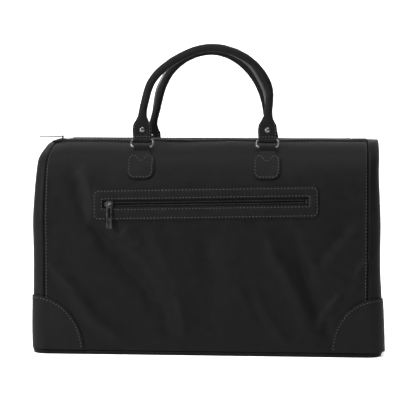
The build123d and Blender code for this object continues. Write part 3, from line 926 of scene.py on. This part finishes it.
def makeHandle(face, faceName):
    h = handleSize
    bar = jointPlace(f"{faceName}_handle_hinge")
    x0, x1 = boxMiddle(f"{faceName}_left_ring").x, boxMiddle(f"{faceName}_right_ring").x
    points = [(x0, bar.z), (x0 - 0.6, bar.z + 20), *handleLines[faceName],
              (x1 - 0.4, bar.z + 20), (x1, bar.z)]
    line = [Vector((x, bar.y, z)) for x, y, z in sampleLine([(px, 0, pz) for px, pz in points])]
    body = f"{faceName}_handle_body"

    def section(k, turn, grow=0.0):
        here = line[k]
        ahead, back = line[min(k + 1, len(line) - 1)], line[max(k - 1, 0)]
        along = (ahead - back).normalized()
        across = Vector((along.z, 0, -along.x))
        rise = here.z - bar.z
        half, thick = between(rise, h["half"]), between(rise, h["thick"])
        square = 0.42 + 0.58 * smooth(24, 45, rise)
        cx, cy = cos(turn), sin(turn)
        ax = signedPower(cx, square) * (half + grow)
        ay = signedPower(cy, square) * (thick + grow)
        wrinkle = h["wrinkle"] * noise.noise(Vector((k * 0.35, cx * 1.6, cy * 1.6 + face * 4)))
        ridge = bump(turn - pi, 0.16) * smooth(30, 46, rise) if turn > pi / 2 else 0.0
        swell = 1 + (wrinkle + 0.5 * ridge) / half * smooth(26, 48, rise)
        normal = (across * cx + Vector((0, 1, 0)) * cy).normalized()
        return here + across * ax * swell + Vector((0, 1, 0)) * ay * swell, normal

    rows = len(line) - 1
    bm = gridPiece(32, rows, lambda u, v: section(round(v * rows), u * 2 * pi)[0], wrap=True, fillEnds=True)
    name = f"{faceName}HandleLeather"
    addObject(name, meshFrom(bm, name), trimLeather, body, [f"{faceName}_handle"])

    def sewTab(x, out):
        # one face of a tab: a line up each side and one across the bottom
        normal = Vector((0, out, 0))
        for edge in (-1, 1):
            path = []
            for rise in range(h["tabStitch"][0], h["tabStitch"][1] + 1):
                aside = max(between(rise, h["half"]) - h["tabStitchIn"], 1.5)
                deep = between(rise, h["thick"]) + 0.05
                path.append((Vector((x + edge * aside, bar.y + out * deep, bar.z + rise)), normal))
            sewAlong(sewing, path, pitch=h["pitch"])
        low = [(Vector((x + h["lowStitchHalf"] * (i / 3 - 1), bar.y + out * 2.85, bar.z + 6.0)), normal)
               for i in range(7)]
        sewAlong(sewing, low, pitch=h["pitch"])

    sewing = bmesh.new()
    gripRows = [k for k, p in enumerate(line) if p.z - bar.z > h["gripStart"]]
    for turn in (pi - h["seamTurn"], pi + h["seamTurn"]):
        sewAlong(sewing, [section(k, turn, 0.1) for k in range(gripRows[0], gripRows[-1])], pitch=h["pitch"])
    for x in (x0, x1):
        for out in (-1, 1):
            sewTab(x, out)
    finishSewing(sewing, f"{faceName}HandleStitching", body)

    for x, sideName in ((x0, "Left"), (x1, "Right")):
        def wrapPlace(u, v):
            turn = u * 2 * pi
            across = (v - 0.5) * h["loopWide"]
            return Vector((x + across, bar.y + h["loop"] * cos(turn), bar.z + h["loop"] * sin(turn)))
        bm = gridPiece(28, 10, wrapPlace, wrap=True)
        name = f"{faceName}{sideName}HandleLoop"
        obj = addObject(name, meshFrom(bm, name), trimLeather, body)
        giveThickness(obj, h["loopThick"] * mm, outwardShare=0.5, rim=0.4 * mm)
        makeRivet(f"{faceName}{sideName}RivetCaps", Vector((x, bar.y, bar.z + h["rivetHigh"])), body,
                  f"{faceName}_{sideName.lower()}_rivet")


# a rivet cap's (radius, height over its seat), and the seat's distance from the tab's middle, in mm
rivetSection = [(0.0, 2.3), (1.3, 2.22), (2.6, 1.9), (3.7, 1.3), (4.35, 0.6), (4.6, 0.1), (4.6, -0.4),
                (3.0, -0.5)]
rivetSeat = 3.0


def makeRivet(name, middle, body, node):
    bm = bmesh.new()
    for out in (-1, 1):
        verts = [bm.verts.new((r, out * h, 0)) for r, h in rivetSection]
        edges = [bm.edges.new(pair) for pair in zip(verts, verts[1:])]
        bmesh.ops.spin(bm, geom=verts + edges, cent=(0, 0, 0), axis=(0, 1, 0), angle=2 * pi, steps=28,
                       use_merge=True)
        bmesh.ops.translate(bm, vec=(0, out * rivetSeat, 0), verts=[v for v in bm.verts if not v.tag])
        for vert in bm.verts:
            vert.tag = True
    bmesh.ops.remove_doubles(bm, verts=bm.verts, dist=0.005)
    bmesh.ops.transform(bm, matrix=Matrix.Scale(mm, 4) @ Matrix.Translation(middle), verts=bm.verts)
    addObject(name, meshFrom(bm, name), nickel, body, [node])


for face, faceName in faces:
    makeHandle(face, faceName)
print("handles made")


def easeEdges(node, name, body, material, width, sag=0.0):
    # a piece of the frame with its sharp edges eased, lowered by its sag in mm
    bm = bmesh.new()
    bm.from_mesh(frame["nodes"][node].data)
    bmesh.ops.translate(bm, vec=(0, 0, -sag * mm), verts=bm.verts)
    bmesh.ops.remove_doubles(bm, verts=bm.verts, dist=0.001 * mm)
    bmesh.ops.dissolve_limit(bm, angle_limit=radians(1), verts=bm.verts, edges=bm.edges)
    obj = addObject(name, meshFrom(bm, name, recalc=False), material, body, [node])
    edge = obj.modifiers.new("ease", "BEVEL")
    edge.width = width * mm
    edge.segments = 3
    edge.limit_method = "ANGLE"
    edge.angle_limit = radians(35)
    edge.harden_normals = True


for zipName in ("main", "pocket"):
    for part, width in (("slider", 0.25), ("puller", 0.3)):
        easeEdges(f"{zipName}_zip_{part}", f"{zipName}{part.title()}", f"{zipName}_{part}", nickel,
                  width)
for sideName, sag in (("left", 2.6), ("right", 0.8)):
    easeEdges(f"{sideName}_zip_end_tab", f"{sideName}EndTab", "shell", trimLeather, 0.8, sag)

# lining: one soft skin inside, from the floor to the mouth, in mm
liningSize = {"inset": 8.3, "mouth": 36.0, "left": -245, "right": 247, "floor": 8.9, "ripple": 1.2,
              "thick": 0.9, "windowShare": 0.8}


def makeLining():
    f = bagForm
    rows = profileRows(liningSize["floor"], 30, 36)
    total = len(rows) + 1

    def place(u, v):
        i = round(v * total)
        profile = rows[min(i, len(rows) - 1)]
        face = -1 if u < 0.5 else 1
        share = 4 * u - 1 if u < 0.5 else 3 - 4 * u
        side = 1 if share >= 0 else -1
        wide = widthAt(profile[1], profile[4], side)
        reach = wide - f["corner"] + f["corner"] * pi / 2 + profile[0] - f["corner"]
        soft = liningSize["ripple"] * noise.noise(Vector((share * 9, face * 2.0, profile[1] * 0.02)))
        depth = min(soft, 0.3) - liningSize["inset"]
        if face < 0:
            depth += liningSize["windowShare"] * windowRecess(share * reach, profile[1])
        point = skinPoint(share * reach, profile[1], face, depth, profile)[0]
        if i > len(rows) - 1:
            point.y = max(min(point.y, liningSize["mouth"]), -liningSize["mouth"])
            point.x = max(min(point.x, liningSize["right"]), liningSize["left"])
        return point
    bm = gridPiece(200, total, place, wrap=True)
    lowRim = [e for e in bm.edges if e.is_boundary and max(v.co.z for v in e.verts) < 20 * mm]
    bmesh.ops.holes_fill(bm, edges=lowRim, sides=0)
    obj = addObject("liningCloth", meshFrom(bm, "liningCloth", recalc=False), liningWeave, "shell",
                    ["main_lining"])
    giveThickness(obj, liningSize["thick"] * mm, outwardShare=1.0)


makeLining()

# the front pocket's pouch hangs between the front leather and the lining
pouchSize = {"halfLong": 171, "low": 111, "high": 259, "inset": 2.3, "thick": 2.2}


def makePouch():
    def place(u, v):
        x = (2 * u - 1) * pouchSize["halfLong"]
        z = pouchSize["low"] + (pouchSize["high"] - pouchSize["low"]) * v
        return skinPoint(x, z, -1, windowRecess(x, z) - pouchSize["inset"])[0]
    bm = gridPiece(140, 74, place)
    obj = addObject("pocketPouch", meshFrom(bm, "pocketPouch", recalc=False), liningWeave, "shell",
                    ["pocket_bag"])
    giveThickness(obj, pouchSize["thick"] * mm)


makePouch()
print("lining and pouch made")

# stage in metres; the floor's own glow is weaker near the bag, where the lights reach it: (share of the
# size, strength)
floorLook = {"size": 9.0, "turnRadius": 1.2, "turnSteps": 12, "behind": 3.2, "wall": 8.0, "tint": 0.86,
             "glow": [(0.07, 0.6), (0.28, 1.0)]}


def makeStage():
    bm = bmesh.new()
    half = floorLook["size"]
    edges = [bm.edges.new([bm.verts.new((x, -half, 0)) for x in (-half, half)])]
    r, bend = floorLook["turnRadius"], pi / 2 / floorLook["turnSteps"]
    steps = [Vector((0, half + floorLook["behind"], 0))]
    for a0, a1 in ((bend * i, bend * (i + 1)) for i in range(floorLook["turnSteps"])):
        steps.append(Vector((0, r * (sin(a1) - sin(a0)), r * (cos(a0) - cos(a1)))))
    steps.append(Vector((0, 0, floorLook["wall"])))
    for step in steps:
        made = bmesh.ops.extrude_edge_only(bm, edges=edges)["geom"]
        bmesh.ops.translate(bm, vec=step, verts=[g for g in made if isinstance(g, bmesh.types.BMVert)])
        edges = [g for g in made if isinstance(g, bmesh.types.BMEdge)]
    mesh = meshFrom(bm, "sweep", recalc=False)
    for face in mesh.polygons:
        face.use_smooth = True
    obj = bpy.data.objects.new("sweep", mesh)
    bpy.context.scene.collection.objects.link(obj)
    material, tree, shader, place = newMaterial("paper")
    shader["Base Color"].default_value = (*[floorLook["tint"]] * 3, 1)
    shader["Roughness"].default_value = 1.0
    shader["Specular IOR Level"].default_value = 0.0
    shader["Emission Color"].default_value = (1, 1, 1, 1)
    reach = addNode(tree, "ShaderNodeVectorMath", [(0, place)], operation="LENGTH")
    share = addNode(tree, "ShaderNodeMath", [(0, reach.outputs["Value"])], operation="MULTIPLY")
    share.inputs[1].default_value = 1 / floorLook["size"]
    ramp(tree, share.outputs[0], floorLook["glow"], shader["Emission Strength"])
    mesh.materials.append(material)


def addLight(name, place, aim, size, power):
    data = bpy.data.lights.new(name, "AREA")
    data.shape = "RECTANGLE"
    data.size, data.size_y = size
    data.energy = power
    obj = bpy.data.objects.new(name, data)
    bpy.context.scene.collection.objects.link(obj)
    obj.location = place
    obj.rotation_euler = (Vector(aim) - Vector(place)).to_track_quat("-Z", "Y").to_euler()


cameraPlace = {"at": (0.20, -2.725, 0.47), "aim": (-0.0045, 0.0, 0.2268), "lens": 142.9}


def makeCamera():
    data = bpy.data.cameras.new("camera")
    data.sensor_width = 36
    data.lens = cameraPlace["lens"]
    obj = bpy.data.objects.new("camera", data)
    bpy.context.scene.collection.objects.link(obj)
    obj.location = cameraPlace["at"]
    aim = Vector(cameraPlace["aim"]) - Vector(cameraPlace["at"])
    obj.rotation_euler = aim.to_track_quat("-Z", "Y").to_euler()
    bpy.context.scene.camera = obj


# lights: name, place and aim in metres, size in metres, power in watts
lightPlan = [
    ("key", (-2.0, -1.4, 1.4), (0, 0, 0.2), (0.35, 0.35), 76),
    ("fill", (1.9, -2.4, 1.6), (0, 0, 0.2), (1.6, 1.6), 1.5),
    ("top", (0.1, -0.6, 2.4), (0, 0, 0.3), (2.0, 0.8), 60),
]
worldStrength = 0.03
makeStage()
makeCamera()
for light in lightPlan:
    addLight(*light)
world = bpy.data.worlds.new("studio")
bpy.context.scene.world = world
world.use_nodes = True
world.node_tree.nodes["Background"].inputs["Color"].default_value = (1, 1, 1, 1)
world.node_tree.nodes["Background"].inputs["Strength"].default_value = worldStrength
bpy.context.scene.view_settings.view_transform = "Standard"

# CAD nodes that stay, with their finishes
keptFinish = {
    "base_panel": trimLeather, "base_piping": trimLeather, "base_board": boardPlastic,
    "front_handle_core": boardPlastic, "back_handle_core": boardPlastic,
}
for nodeName, obj in frame["nodes"].items():
    finish = keptFinish.get(nodeName)
    if finish is None:
        if "tape" in nodeName:
            finish = tapeWeave
        elif "chain" in nodeName:
            finish = coilPlastic
        elif any(word in nodeName for word in ("ring", "rivet", "slider", "puller", "stops")):
            finish = nickel
        else:
            finish = trimLeather
    obj.data.materials.clear()
    obj.data.materials.append(finish)
print("kept nodes finished")
